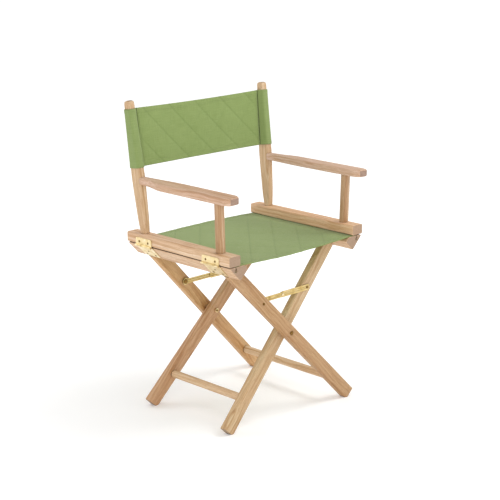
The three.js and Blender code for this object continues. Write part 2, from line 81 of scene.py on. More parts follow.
# ---- Sizes that the CAD part also has, in metres. Places are those of the left side ----
MM = 0.001
OPEN = math.radians(44.4)  # a leg's angle from upright
LEAN = math.radians(2)  # the arm posts' angle outwards
RAKE = math.radians(6.75)  # the back posts' angle to the rear
PIN = Vector((262.987, 0, 474.795)) * MM  # the hinge's axis
SPLIT = 476.223 * MM  # top of the lower rail, where the seat lies
POST = Vector((239.987, 146.8, 505.123)) * MM  # foot of the back post
POST_WIDTH = 22 * MM
POST_CORNER = 5 * MM
POST_HEIGHTS = np.array([-4, 8, 40, 95, 150, 185, 270, 362.5]) * MM
POST_DEPTHS = np.array([17, 19.5, 27, 32, 36, 34, 28, 22]) * MM
SLEEVE = (181 * MM, 340 * MM)  # lower and upper edge of the back sling, along the post
GROOVE = Vector((235.487, 0, 465.0)) * MM  # axis of the seat's rod


# ---- Node helpers ----
class Nodes:
    """Short calls for building one material's node tree."""

    def __init__(self, name):
        self.material = bpy.data.materials.new(name)
        self.material.use_nodes = True
        self.tree = self.material.node_tree
        self.tree.nodes.clear()
        self.shader = self.add("ShaderNodeBsdfPrincipled")
        output = self.add("ShaderNodeOutputMaterial")
        self.tree.links.new(self.shader.outputs[0], output.inputs["Surface"])

    def add(self, kind, **settings):
        node = self.tree.nodes.new(kind)
        for key, value in settings.items():
            setattr(node, key, value)
        return node

    def put(self, socket, value):
        if isinstance(value, bpy.types.NodeSocket):
            self.tree.links.new(value, socket)
        else:
            socket.default_value = value

    def set(self, **values):
        """Plain values on the shader's own sockets. An underscore stands for a space."""
        for key, value in values.items():
            self.shader.inputs[key.replace("_", " ")].default_value = value

    def position(self):
        return self.add("ShaderNodeTexCoord").outputs["Object"]

    def math(self, operation, a, b=0.0):
        node = self.add("ShaderNodeMath", operation=operation)
        for socket, value in zip(node.inputs, (a, b)):
            self.put(socket, value)
        return node.outputs[0]

    def dot(self, a, b):
        node = self.add("ShaderNodeVectorMath", operation="DOT_PRODUCT")
        self.put(node.inputs[0], a)
        self.put(node.inputs[1], b)
        return node.outputs["Value"]

    def combine(self, x, y, z):
        node = self.add("ShaderNodeCombineXYZ")
        for socket, value in zip(node.inputs, (x, y, z)):
            self.put(socket, value)
        return node.outputs[0]

    def stretch(self, parts, rates, *rest):
        """A vector of parts times rates, for a noise that is drawn out one way."""
        scaled = [self.math("MULTIPLY", part, rate) for part, rate in zip(parts, rates)]
        return self.combine(*scaled, *rest)

    def noise(self, vector, scale, detail=3.0, roughness=0.5):
        node = self.add("ShaderNodeTexNoise")
        self.put(node.inputs["Vector"], vector)
        node.inputs["Scale"].default_value = scale
        node.inputs["Detail"].default_value = detail
        node.inputs["Roughness"].default_value = roughness
        return node.outputs["Fac"]

    def ramp(self, value, stops):
        node = self.add("ShaderNodeValToRGB")
        elements = node.color_ramp.elements
        while len(elements) < len(stops):
            elements.new(0.5)
        for element, (position, tone) in zip(elements, stops):
            element.position = position
            element.color = tone
        self.put(node.inputs[0], value)
        return node.outputs["Color"]

    def level(self, value, low, high, to_low=0.0, to_high=1.0):
        node = self.add("ShaderNodeMapRange", clamp=True)
        self.put(node.inputs["Value"], value)
        for key, number in (("From Min", low), ("From Max", high),
                            ("To Min", to_low), ("To Max", to_high)):
            node.inputs[key].default_value = number
        return node.outputs[0]

    def mix(self, factor, a, b):
        node = self.add("ShaderNodeMix", data_type="RGBA", blend_type="MIX")
        self.put(node.inputs["Factor"], factor)
        self.put(node.inputs[6], a)
        self.put(node.inputs[7], b)
        return node.outputs[2]

    def rounded(self, radius):
        """The normal, with sharp edges rounded over."""
        node = self.add("ShaderNodeBevel", samples=6)
        node.inputs["Radius"].default_value = radius
        return node.outputs[0]

    def bump(self, height, distance, strength=1.0, normal=None):
        node = self.add("ShaderNodeBump")
        node.inputs["Distance"].default_value = distance
        node.inputs["Strength"].default_value = strength
        self.put(node.inputs["Height"], height)
        if normal is not None:
            self.put(node.inputs["Normal"], normal)
        return node.outputs[0]

    def finish(self, base, roughness, normal):
        """Set the three sockets that every finish links, and return the material."""
        for key, value in (("Base Color", base), ("Roughness", roughness), ("Normal", normal)):
            self.put(self.shader.inputs[key], value)
        return self.material


def colour(red, green, blue):
    """Linear colour from 0 to 255 display values, for a socket."""
    linear = []
    for value in (red, green, blue):
        value = value / 255
        linear.append(value / 12.92 if value <= 0.04045 else ((value + 0.055) / 1.055) ** 2.4)
    return (*linear, 1.0)


# ---- Wood. Colours are display values, and ramps go from early wood to late wood ----
RING_TONES = ((0.30, (236, 208, 178)), (0.45, (224, 190, 154)),
              (0.56, (203, 161, 120)), (0.70, (172, 126, 84)))
STREAK_TONES = ((0.25, (238, 204, 178)), (0.48, (221, 180, 146)),
                (0.62, (196, 148, 108)), (0.78, (168, 118, 78)))
FIBRE_TONE = (158, 112, 74)
PORE_TONE = (120, 80, 52)
END_GRAIN_TONE = (154, 124, 102)
# The colour of the painted shade in corners and gaps.
CORNER_SHADE_TONE = (74, 48, 32)
RUBBED_TONE = (246, 226, 204)
# How fast each noise changes, per metre: along the grain, then across it.
RING_RATES = (1.1, 210.0)
FIBRE_RATES = (14.0, 950.0)
STREAK_RATES = (3.0, 160.0)
PORE_RATES = (95.0, 2600.0)
HEART = (0.10, 0.06)  # from the plank to the middle of its rings, in metres
HEART_SPREAD = 0.08  # how far that varies from plank to plank
SWAY = 0.022  # how far the rings wander, in metres
CORNER_SHADE_REACH = 0.007  # how far out of a corner its painted shade reaches, in metres
WOOD_EDGE = 0.0016
WOOD_RELIEF = 0.00022


def wood(name, grain, seed, warmth, tint_and_shade):
    """Oiled hardwood. grain is the direction of its fibres, and seed picks the plank.

    warmth is the share of streaks over rings, and tint_and_shade multiplies all the colours: the
    plank's own tone, and for some pieces painted shade.
    """
    n = Nodes(name)
    grain = Vector(grain).normalized()
    across = grain.orthogonal().normalized()
    other = grain.cross(across)
    shift = np.random.RandomState(seed).uniform(-1, 1, 3)
    where = n.position()
    along = n.math("ADD", n.dot(where, grain), float(shift[0]))
    a = n.math("ADD", n.dot(where, across), float(shift[1] * HEART_SPREAD + HEART[0]))
    b = n.math("ADD", n.dot(where, other), float(shift[2] * HEART_SPREAD + HEART[1]))
    drift = n.noise(n.combine(n.math("MULTIPLY", along, 2.2), a, b), 4.0, 2.0)
    a = n.math("ADD", a, n.math("MULTIPLY", n.math("SUBTRACT", drift, 0.5), SWAY))
    radius = n.math("SQRT", n.math("ADD", n.math("MULTIPLY", a, a), n.math("MULTIPLY", b, b)))

    def tone(display):
        return (*(t * c for t, c in zip(tint_and_shade, colour(*display))), 1.0)

    def ramp(value, stops):
        return n.ramp(value, [(place, tone(display)) for place, display in stops])

    def lengthwise(rates, detail, roughness=0.5):
        return n.noise(n.stretch((along, a, b), (rates[0], rates[1], rates[1])),
                       1.0, detail, roughness)

    rings = n.noise(n.stretch((radius, along), RING_RATES[::-1], 0.0), 1.0, 3.0, 0.55)
    fibres = lengthwise(FIBRE_RATES, 2.0, 0.6)
    streaks = lengthwise(STREAK_RATES, 3.0)
    pores = lengthwise(PORE_RATES, 1.0)
    blotches = n.noise(where, 9.0, 3.0)

    share = n.level(blotches, 0.35, 0.65, warmth - 0.25, warmth + 0.25)
    body = n.mix(share, ramp(rings, RING_TONES), ramp(streaks, STREAK_TONES))
    body = n.mix(n.level(fibres, 0.42, 0.75, 0.0, 0.45), body, tone(FIBRE_TONE))
    body = n.mix(n.level(pores, 0.66, 0.74, 0.0, 0.50), body, tone(PORE_TONE))
    facing = n.dot(n.add("ShaderNodeTexCoord").outputs["Normal"], grain)
    end_grain = n.level(n.math("ABSOLUTE", facing), 0.80, 0.97, 0.0, 0.85)
    body = n.mix(end_grain, body, tone(END_GRAIN_TONE))
    # Painted shade: the wood is darkened by ambient occlusion in corners and in the gaps between
    # parts.
    shelter = n.add("ShaderNodeAmbientOcclusion", samples=6)
    shelter.inputs["Distance"].default_value = CORNER_SHADE_REACH
    corner_shade = n.level(shelter.outputs["AO"], 0.60, 0.15, 0.0, 0.85)
    body = n.mix(corner_shade, body, tone(CORNER_SHADE_TONE))

    # Edges are rubbed paler where the rounded normal leaves the true one.
    rounded = n.rounded(WOOD_EDGE)
    edge = n.dot(rounded, n.add("ShaderNodeNewGeometry").outputs["Normal"])
    rubbed = n.math("MULTIPLY", n.level(edge, 0.99, 0.80),
                    n.level(blotches, 0.40, 0.62, 0.2, 0.8))
    body = n.mix(n.math("MULTIPLY", rubbed, 0.45), body, tone(RUBBED_TONE))

    n.set(Specular_IOR_Level=0.38, Coat_Weight=0.06, Coat_Roughness=0.35)
    roughness = n.level(n.math("ADD", fibres, rings), 0.7, 1.3, 0.46, 0.62)
    relief = n.math("ADD", n.math("MULTIPLY", fibres, 0.6), n.math("MULTIPLY", pores, -0.5))
    return n.finish(body, roughness, n.bump(relief, WOOD_RELIEF, 0.55, rounded))


# ---- Brass ----
BRUSH_RATES = (900.0, 60.0, 900.0)  # brush marks run front to back
BRASS_EDGE = 0.0005
BRUSH_RELIEF = 0.00006
RIB_SIDES = (0.0036, 0.0018)  # from a rib's middle to the foot and the top of its side
RIB_RELIEF = 0.0012


def brass(name, seed, tones, rib=None):
    """Brass, lightly brushed and a little tarnished. rib is the height of a pressed rib."""
    n = Nodes(name)
    shift = np.random.RandomState(seed).uniform(-1, 1, 3)
    where = n.position()
    moved = n.add("ShaderNodeVectorMath", operation="ADD")
    n.put(moved.inputs[0], where)
    moved.inputs[1].default_value = shift
    moved = moved.outputs[0]
    axes = [n.dot(moved, axis) for axis in ((1, 0, 0), (0, 1, 0), (0, 0, 1))]
    tarnish = n.noise(moved, 55.0, 4.0, 0.6)
    brushed = n.noise(n.stretch(axes, BRUSH_RATES), 1.0, 2.0)
    base = n.ramp(tarnish, [(0.30, tones[0]), (0.55, tones[1]), (0.78, tones[2])])
    base = n.mix(n.level(brushed, 0.45, 0.75, 0.0, 0.18), base, tones[0])
    n.set(Metallic=1.0)
    roughness = n.level(n.math("ADD", tarnish, brushed), 0.7, 1.3, 0.24, 0.44)
    relief = n.bump(brushed, BRUSH_RELIEF, 0.5, n.rounded(BRASS_EDGE))
    if rib is not None:
        off_middle = n.math("ABSOLUTE", n.math("SUBTRACT", n.dot(where, (0, 0, 1)), rib))
        relief = n.bump(n.level(off_middle, *RIB_SIDES), RIB_RELIEF, 1.0, relief)
    return n.finish(base, roughness, relief)


# ---- Canvas, thread and recesses ----
THREAD_PITCH = 0.00105  # from one thread to the next
WEAVE_RELIEF = 0.00022
WARP_RATES = (1100.0, 26.0)
WEFT_RATES = (22.0, 1000.0)
CREASE_SHADE = 0.48


def canvas(name, main, light, dark):
    """Plain-woven cotton duck. It reads the UV map, which is in metres along the threads."""
    n = Nodes(name)
    uv = n.add("ShaderNodeUVMap", uv_map="threads").outputs[0]
    u = n.dot(uv, (1, 0, 0))
    v = n.dot(uv, (0, 1, 0))
    uneven = n.noise(uv, 26.0, 2.0)

    def wave(thread_place):
        turns = n.math("MULTIPLY", thread_place, math.pi / THREAD_PITCH)
        return n.math("SINE", n.math("ADD", turns, n.math("MULTIPLY", uneven, 5.0)))

    u_wave, v_wave = wave(u), wave(v)
    over = n.level(n.math("MULTIPLY", u_wave, v_wave), -0.25, 0.25)
    u_part = n.math("MULTIPLY", n.math("ABSOLUTE", u_wave), over)
    v_part = n.math("MULTIPLY", n.math("ABSOLUTE", v_wave), n.math("SUBTRACT", 1.0, over))
    weave = n.math("ADD", u_part, v_part)
    warp = n.noise(n.stretch((u, v), WARP_RATES, 0.0), 1.0, 2.0)
    weft = n.noise(n.stretch((u, v), WEFT_RATES, 4.0), 1.0, 2.0)
    slubs = n.math("ADD", warp, weft)
    cloud = n.noise(uv, 11.0, 4.0, 0.6)
    crease = n.add("ShaderNodeAttribute", attribute_name="crease").outputs["Fac"]

    base = n.mix(n.level(slubs, 0.75, 1.25), dark, light)
    base = n.mix(0.62, base, main)
    base = n.mix(n.level(weave, 0.15, 0.0, 0.0, 0.35), base, dark)
    base = n.mix(n.level(cloud, 0.35, 0.70, 0.0, 0.22), base, light)
    base = n.mix(n.math("MULTIPLY", crease, CREASE_SHADE), base, dark)
    n.set(Specular_IOR_Level=0.25, Sheen_Weight=0.22, Sheen_Roughness=0.45)
    height = n.math("ADD", n.math("MULTIPLY", weave, 0.7), n.math("MULTIPLY", slubs, 0.5))
    return n.finish(base, n.level(slubs, 0.7, 1.3, 0.78, 0.92), n.bump(height, WEAVE_RELIEF, 0.7))


def thread(name, tone, light):
    """Twisted sewing thread."""
    n = Nodes(name)
    twist = n.noise(n.position(), 2600.0, 2.0)
    base = n.mix(n.level(twist, 0.35, 0.65), tone, light)
    return n.finish(base, 0.7, n.bump(twist, 0.0001, 0.6))


def shadowed(name, tone, light):
    """Painted shade for the bottom of a screw's recess."""
    n = Nodes(name)
    mottle = n.level(n.noise(n.position(), 900.0), 0.3, 0.7, 0.0, 0.2)
    n.put(n.shader.inputs["Base Color"], n.mix(mottle, tone, light))
    n.set(Roughness=0.6)
    return n.material


# ---- Finishes of the carried-over pieces ----
LEG_GRAIN = {"outer": (-math.sin(OPEN), 0, math.cos(OPEN)),
             "inner": (math.sin(OPEN), 0, math.cos(OPEN))}


def grain_of(name):
    if "leg" in name:
        return LEG_GRAIN[name.split("_")[0]]
    if "post" in name:
        side = 1 if name.startswith("left") else -1
        return (side * math.sin(LEAN), math.sin(RAKE) if "back" in name else 0, 1)
    if "spacer" in name:
        return (1, 0, 0)
    return (0, 1, 0)


# Part of a piece's name, how warm its wood is, and its tint: the plank's own tone, with painted
# shade in some, for the legs are darkened for the shade that falls on them and the far upper rail
# is lightened against its shade. The first match counts.
PLANK_TONES_AND_SHADE = (
    ("outer_leg_front", 0.50, (0.69, 0.64, 0.50)),
    ("outer_leg_rear", 0.50, (0.86, 0.80, 0.58)),
    ("inner_leg_front", 0.50, (0.84, 0.90, 0.80)),
    ("inner_leg_rear", 0.55, (0.79, 0.72, 0.61)),
    ("left_upper_rail", 0.60, (1.04, 1.06, 1.02)),
    ("rail", 0.60, (0.96, 1.01, 1.02)),
    ("armrest", 0.65, (0.86, 0.89, 0.99)),
    ("back_post", 0.40, (0.84, 0.88, 0.82)),
    ("front_post", 0.55, (0.72, 0.72, 0.66)),
    ("stretcher", 0.50, (0.98, 1.06, 1.03)),
    ("", 0.50, (0.84, 0.80, 0.70)),
)
FIRST_PLANK_SEED = 40
# Brass tones, from clean to tarnished.
BRIGHT = (colour(240, 223, 186), colour(230, 207, 154), colour(198, 170, 116))
# The stays: the same brass made darker, as painted shade, for they stand in less light than the
# hinge leaves.
SHADED_STAY = (colour(214, 190, 138), colour(204, 177, 114), colour(176, 144, 84))
# Screws and bolts: brass darkened partly for its age and partly as painted shade of their
# countersinks and recesses.
DARK_AND_SHADED = (colour(150, 118, 62), colour(124, 92, 46), colour(84, 60, 32))
STAY_HEIGHT = 340.927 * MM  # the middle of the open chair's stays
brass_material = brass("brass", 5, BRIGHT)
ribbed_material = brass("brass_ribbed", 6, SHADED_STAY, rib=STAY_HEIGHT)
screw_material = brass("brass_dark_and_shaded", 7, DARK_AND_SHADED)
SLOTS = {subpart["node"]: subpart["material_slot"] for subpart in frame["record"]["subparts"]}
for index, name in enumerate(sorted(NODES)):
    if SLOTS[name] in ("wood", "rod"):
        warmth, tint_and_shade = next(plank[1:] for plank in PLANK_TONES_AND_SHADE if plank[0] in name)
        made = wood("wood_" + name, grain_of(name), FIRST_PLANK_SEED + index, warmth, tint_and_shade)
    elif "screw" in name or "bolt" in name:
        made = screw_material
    elif "_stay_" in name:
        made = ribbed_material
    elif SLOTS[name] == "brass":
        made = brass_material
    else:
        continue  # the cloth, which is replaced below
    NODES[name].data.materials.clear()
    NODES[name].data.materials.append(made)

GREEN = colour(131, 149, 86)
GREEN_SLEEVE = colour(131, 148, 90)
GREEN_LIGHT = colour(149, 166, 106)
GREEN_DARK = colour(106, 125, 66)
canvas_material = canvas("canvas", GREEN, GREEN_LIGHT, GREEN_DARK)
sleeve_material = canvas("canvas_sleeve", GREEN_SLEEVE, GREEN_LIGHT, GREEN_DARK)
thread_material = thread("thread", colour(136, 152, 94), colour(164, 178, 124))
# Painted shade for the screws' cross recesses.
recess_material = shadowed("recess", colour(60, 44, 22), colour(90, 70, 40))


# ---- Mesh helpers ----
def ring(built, centre, side, other, radius, count):
    """New vertices on a circle in the plane of side and other."""
    angles = [2 * math.pi * k / count for k in range(count)]
    return [built.verts.new(centre + (side * math.cos(a) + other * math.sin(a)) * radius)
            for a in angles]


def loft(built, rings):
    """Faces from each ring to the next, and one over each end."""
    count = len(rings[0])
    for first, second in zip(rings, rings[1:]):
        for k in range(count):
            j = (k + 1) % count
            built.faces.new((first[k], first[j], second[j], second[k]))
    built.faces.new(rings[0][::-1])
    built.faces.new(rings[-1])


def solid(name, built, material, smooth=()):
    """An object from a bmesh. smooth lists the corner counts of the faces that are smooth."""
    bmesh.ops.recalc_face_normals(built, faces=built.faces)
    mesh = bpy.data.meshes.new(name)
    built.to_mesh(mesh)
    built.free()
    for polygon in mesh.polygons:
        polygon.use_smooth = len(polygon.vertices) in smooth
    mesh.materials.append(material)
    obj = bpy.data.objects.new(name, mesh)
    SCENE.collection.objects.link(obj)
    return obj


def lengths_along(line):
    """The distance from the start of a line to each of its points."""
    steps = np.linalg.norm(np.diff(line, axis=0), axis=1)
    return np.concatenate([[0], np.cumsum(steps)])


def evenly(line, count):
    """A line again, in even steps, and its length."""
    reach = lengths_along(line)
    want = np.linspace(0, reach[-1], count)
    points = [np.interp(want, reach, line[:, k]) for k in range(line.shape[1])]
    return np.stack(points, -1), want


# ---- Cloth ----
CLOTH = 0.0011  # its thickness
SINGLE, HEM_EXTRA = 0.5, 0.35  # share of two layers: of plain cloth, and what a hem adds
HEM_WIDTH = 0.012
HEM_STEP = 0.0015


def hem_share(edge):
    """The thickness, as a share of two layers, at a distance from the hemmed edge."""
    return SINGLE + HEM_EXTRA * np.clip((HEM_WIDTH - edge) / HEM_STEP, 0, 1)


def cloth(name, rows, along, up, material, thickness=CLOTH, crease=None, doubled=None):
    """A cloth surface from a grid of points. along and up are its thread lengths in metres.

    crease is painted shade along pressed lines, from 0 to 1, and doubled is each point's share of
    two layers.
    """
    rows = np.asarray(rows, float)
    count_v, count_u = rows.shape[:2]
    faces = []
    for j in range(count_v - 1):
        for i in range(count_u - 1):
            k = j * count_u + i
            faces.append((k, k + 1, k + count_u + 1, k + count_u))
    mesh = bpy.data.meshes.new(name)
    mesh.from_pydata([tuple(p) for p in rows.reshape(-1, 3)], [], faces)
    mesh.polygons.foreach_set("use_smooth", [True] * len(faces))
    layer = mesh.uv_layers.new(name="threads")
    place = np.stack(np.broadcast_arrays(along[None, :], up[:, None]), -1).reshape(-1, 2)
    corner = np.array([loop.vertex_index for loop in mesh.loops])
    layer.data.foreach_set("uv", place[corner].astype(np.float32).ravel())
    attribute = mesh.attributes.new("crease", "FLOAT", "POINT")
    values = np.zeros(count_u * count_v) if crease is None else np.asarray(crease).reshape(-1)
    attribute.data.foreach_set("value", values.astype(np.float32))
    mesh.materials.append(material)
    mesh.update()
    obj = bpy.data.objects.new(name, mesh)
    SCENE.collection.objects.link(obj)
    thick = obj.modifiers.new("thickness", "SOLIDIFY")
    thick.thickness = thickness
    thick.offset = 0
    if doubled is not None:
        group = obj.vertex_groups.new(name="thickness")
        weights = np.round(np.asarray(doubled).reshape(-1), 2)
        for value in np.unique(weights):
            group.add(np.nonzero(weights == value)[0].tolist(), float(value), "REPLACE")
        thick.thickness = thickness * 2
        thick.vertex_group = "thickness"
    return obj


STITCH_PITCH = 0.0034
STITCH_LENGTH = 0.0024
THREAD_RADIUS = 0.00032
# Along one stitch: share of its length, share of the radius, and how far it lifts off the cloth.
STITCH_PROFILE = ((0, 0.35, 0.1), (0.2, 0.9, 0.6), (0.5, 1.0, 1.0), (0.8, 0.9, 0.6), (1, 0.35, 0.1))
STITCH_SIDES = 6


def stitches(name, line, normal):
    """A row of stitches along a line of points, lying on the cloth, whose normal this is."""
    reach = lengths_along(line)
    normal = Vector(normal).normalized()
    built = bmesh.new()
    for start in np.arange(STITCH_PITCH / 2, reach[-1] - STITCH_LENGTH, STITCH_PITCH):
        first, last = (Vector([np.interp(place, reach, line[:, k]) for k in range(3)])
                       for place in (start, start + STITCH_LENGTH))
        side = (last - first).cross(normal).normalized()
        rings = []
        for share, size, lift in STITCH_PROFILE:
            centre = first + (last - first) * share + normal * THREAD_RADIUS * lift
            rings.append(ring(built, centre, side, normal, THREAD_RADIUS * size, STITCH_SIDES))
        loft(built, rings)
    return solid(name, built, thread_material, smooth=(4, STITCH_SIDES))


def gaussian(x, width):
    return np.exp(-(x / width) ** 2)


FINE_LINE, BROAD_LINE = 0.0022, 0.010  # half widths of a pressed line


def diagonals(x, y, spacing, first, slope):
    """Slanted pressed lines, 1 on a line and 0 away from it: fine, and broad."""
    place = (x - first - y * slope) / spacing
    off = (place - np.round(place)) * spacing / math.hypot(1, slope)
    return gaussian(off, FINE_LINE), gaussian(off, BROAD_LINE)


def post_point(across, deep, height, side):
    """The place of a point given in a back post's own axes. side is 1 on the left."""
    y = deep * math.cos(RAKE) + height * math.sin(RAKE)
    z = -deep * math.sin(RAKE) + height * math.cos(RAKE)
    x = across * math.cos(LEAN) + z * math.sin(LEAN)
    z = -across * math.sin(LEAN) + z * math.cos(LEAN)
    return np.array([side * (POST.x + x), POST.y + y, POST.z + z])


# ---- Back sling: a sleeve over each post, and the panel between them ----
SEAM = -POST_WIDTH / 2 - 8.5 * MM  # across the post, from its middle to the sleeve's seam
PANEL_INSET = 2.6 * MM  # seam to the end of the panel, so that it folds clear of the sleeve
SLEEVE_PLAY = 1.3 * MM  # post to cloth
SLEEVE_POINTS = 56
SLEEVE_ROWS = 41
CORNER_STEP = 7.5  # degrees
# The ends of the sleeve's loop, from the seam: the front one, and the lap behind the panel.
LOOP_START = (0, -0.0004)
LOOP_LAP = ((0, 0.0013), (-0.0036, 0.0015))


def sleeve_section(height):
    """The loop of cloth round a post: from the seam, round the front, and back to the seam."""
    depth = np.interp(height, POST_HEIGHTS, POST_DEPTHS)
    corner = POST_CORNER + SLEEVE_PLAY
    middle_x = POST_WIDTH / 2 + SLEEVE_PLAY - corner
    middle_y = depth / 2 + SLEEVE_PLAY - corner
    outline = []
    for sign_x, sign_y, start in ((1, 1, 0), (-1, 1, 90), (-1, -1, 180), (1, -1, 270)):
        for angle in np.radians(start + CORNER_STEP * np.arange(13)):
            outline.append((sign_x * middle_x + corner * math.cos(angle),
                            sign_y * middle_y + corner * math.sin(angle)))
    outline = np.array(outline)
    seam = np.array((SEAM, 0.0))
    angles = np.arctan2(outline[:, 1] - seam[1], outline[:, 0] - seam[0])
    front, rear = int(np.argmin(angles)), int(np.argmax(angles))
    loop = [seam + LOOP_START]
    i = front
    while i != rear:
        loop.append(outline[i])
        i = (i + 1) % len(outline)
    loop += [outline[rear]] + [seam + lap for lap in LOOP_LAP]
    section, want = evenly(np.array(loop), SLEEVE_POINTS)
    return section, want[-1]


def sleeve(side):
    heights = np.linspace(SLEEVE[0], SLEEVE[1], SLEEVE_ROWS)
    rows, lengths = [], []
    for height in heights:
        section, length = sleeve_section(height)
        rows.append([post_point(a, d, height, side) for a, d in section])
        lengths.append(length)
    rows = np.array(rows)
    if side < 0:
        rows = rows[:, ::-1]
    length = float(np.mean(lengths))
    edge = np.minimum(heights - SLEEVE[0], SLEEVE[1] - heights)
    hem = np.broadcast_to(hem_share(edge)[:, None], rows.shape[:2])
    obj = cloth("back_sleeve_" + ("left" if side > 0 else "right"), rows,
                np.linspace(0, length, SLEEVE_POINTS), heights, sleeve_material, doubled=hem)
    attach(obj, "left_arm" if side > 0 else "right_arm")


BACK_ROWS, BACK_COLUMNS = 65, 193
BACK_MIDDLE_ROW = 32
BACK_HEM_ROWS = (("low", 5), ("high", 59))
BACK_HEM_ENDS = 8  # columns at each end that the stitches of a hem leave out
BACK_NORMAL = np.array([0, math.cos(RAKE), -math.sin(RAKE)])  # to the rear
BACK_UP = np.array([0, math.sin(RAKE), math.cos(RAKE)])
BACK_BOW = 0.0045  # how far the middle goes back
BACK_SAG = 0.0028  # how far the middle of the upper edge hangs
BACK_DRAW = 0.0016  # how far the middle of the lower edge is drawn up
BACK_HALF = 0.079  # half the panel's height
# Depths of the pressed lines, of the puffs between them, and of the loose ripples.
BACK_GROOVE, BACK_PUFF = 0.0009, 0.0012
SEAT_GROOVE, SEAT_PUFF = 0.0009, 0.0007
RIPPLE = 0.0005
BACK_FADE, SEAT_FADE = 9, 8  # how fast the pattern sets in from the seams
SEAM_PULL = 0.0006  # depth of the puckers along the seams
# Pressed lines: their spacing, the place of one, and their slope.
BACK_CREASES = ((0.0965, -0.129, -1.0), (0.0965, 0.062, 0.9))
SEAT_CREASES = ((0.094, 0.012, 0.95), (0.094, -0.03, -0.95))


def back_panel():
    heights = np.linspace(SLEEVE[0], SLEEVE[1], BACK_ROWS)
    shares = np.linspace(-1, 1, BACK_COLUMNS)
    middle = (SLEEVE[0] + SLEEVE[1]) / 2
    bow = 1 - shares ** 2
    fade = np.clip((1 - np.abs(shares)) * BACK_FADE, 0, 1)
    phase = np.random.RandomState(7).uniform(0, 6.28, 8)
    rows, crease, doubled = [], [], []
    for height in heights:
        left = post_point(SEAM - PANEL_INSET, 0, height, 1)
        right = post_point(SEAM - PANEL_INSET, 0, height, -1)
        x = shares * left[0]
        up = height - middle
        fine1, broad1 = diagonals(x, up, *BACK_CREASES[0])
        fine2, broad2 = diagonals(x, up, *BACK_CREASES[1])
        faint = 0.45 + 0.25 * np.sin(x * 19 + phase[0])
        groove = fade * (0.55 * fine1 + 0.22 * faint * fine2)
        puff = fade * (0.5 * (1 - broad1) + 0.3 * (1 - broad2))
        ripple = (0.5 * np.sin(x * 31 + up * 22 + phase[1])
                  + 0.3 * np.sin(x * 57 - up * 40 + phase[2]))
        pull = 0.9 * gaussian(1 - np.abs(shares), 0.16) * np.sin(up * 260 + phase[3]) * 0.35
        depth = (BACK_BOW * bow + BACK_GROOVE * groove - BACK_PUFF * puff
                 + fade * RIPPLE * ripple + SEAM_PULL * pull)
        rise = np.clip((up + BACK_HALF) / (2 * BACK_HALF), 0, 1)
        sag = (-BACK_SAG * bow * (0.5 + 0.5 * rise)
               + BACK_DRAW * bow * (up < 0) * (-up / BACK_HALF))
        row = (left[None, :] * ((1 + shares) / 2)[:, None]
               + right[None, :] * ((1 - shares) / 2)[:, None])
        rows.append(row + depth[:, None] * BACK_NORMAL + sag[:, None] * BACK_UP)
        crease.append(fade * (0.8 * fine1 + 0.35 * faint * fine2))
        edge = min(height - SLEEVE[0], SLEEVE[1] - height)
        doubled.append(np.full(len(shares), hem_share(edge)))
    rows = np.array(rows)
    width = float(np.linalg.norm(rows[BACK_MIDDLE_ROW, -1] - rows[BACK_MIDDLE_ROW, 0]))
    obj = cloth("back_panel", rows, shares * width / 2, heights, canvas_material,
                crease=crease, doubled=doubled)
    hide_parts("back_sling")
    lines = []
    for label, row in BACK_HEM_ROWS:
        front = rows[row, BACK_HEM_ENDS:-BACK_HEM_ENDS] - BACK_NORMAL * CLOTH
        lines.append(stitches("back_hem_stitches_" + label, front, -BACK_NORMAL))
    for piece in [obj] + lines:
        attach(piece, "right_arm")
        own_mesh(piece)


SEAM_ROWS = (("outer", 0.0042), ("inner", 0.0086))  # each row's distance from the seam
SEAM_POINTS = 60
SEAM_END_GAP = 0.002
SEAM_LIFT = 0.0013  # from the middle of the cloth to the thread
PANEL_HALF = 0.22


def seam_stitches(side):
    heights = np.linspace(SLEEVE[0] + SEAM_END_GAP, SLEEVE[1] - SEAM_END_GAP, SEAM_POINTS)
    for label, offset in SEAM_ROWS:
        bow = 1 - (1 - offset / PANEL_HALF) ** 2
        line = np.array([post_point(SEAM - offset, BACK_BOW * bow - SEAM_LIFT, height, side)
                         for height in heights])
        obj = stitches(f"back_seam_{label}_{'left' if side > 0 else 'right'}", line, -BACK_NORMAL)
        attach(obj, "left_arm" if side > 0 else "right_arm")


back_panel()
for side in (1, -1):
    sleeve(side)
    seam_stitches(side)


# ---- Seat sling: the span over the rails, and an end round each rod ----
SEAT_HALF = 198 * MM
SEAT_TURN = 203 * MM  # where the span ends, on top of the rails
SEAT_ROWS, SEAT_COLUMNS = 127, 161
SEAT_HEM_ROWS = (("front", 4), ("rear", 122))
SEAT_SAG, SEAT_TILT = 0.0018, 0.0042  # the middle sags, in front more than at the rear
SEAT_INSET = -0.0030  # how far the rear edge comes in at its middle: below 0, it goes out
ROD_WRAP = 3.0 * MM * 1.15  # from the rod's axis to the middle of its cloth
WRAP_ANGLES = range(75, -281, -15)  # degrees
END_POINTS, END_ROWS = 60, 40
END_CLOTH = 0.0009


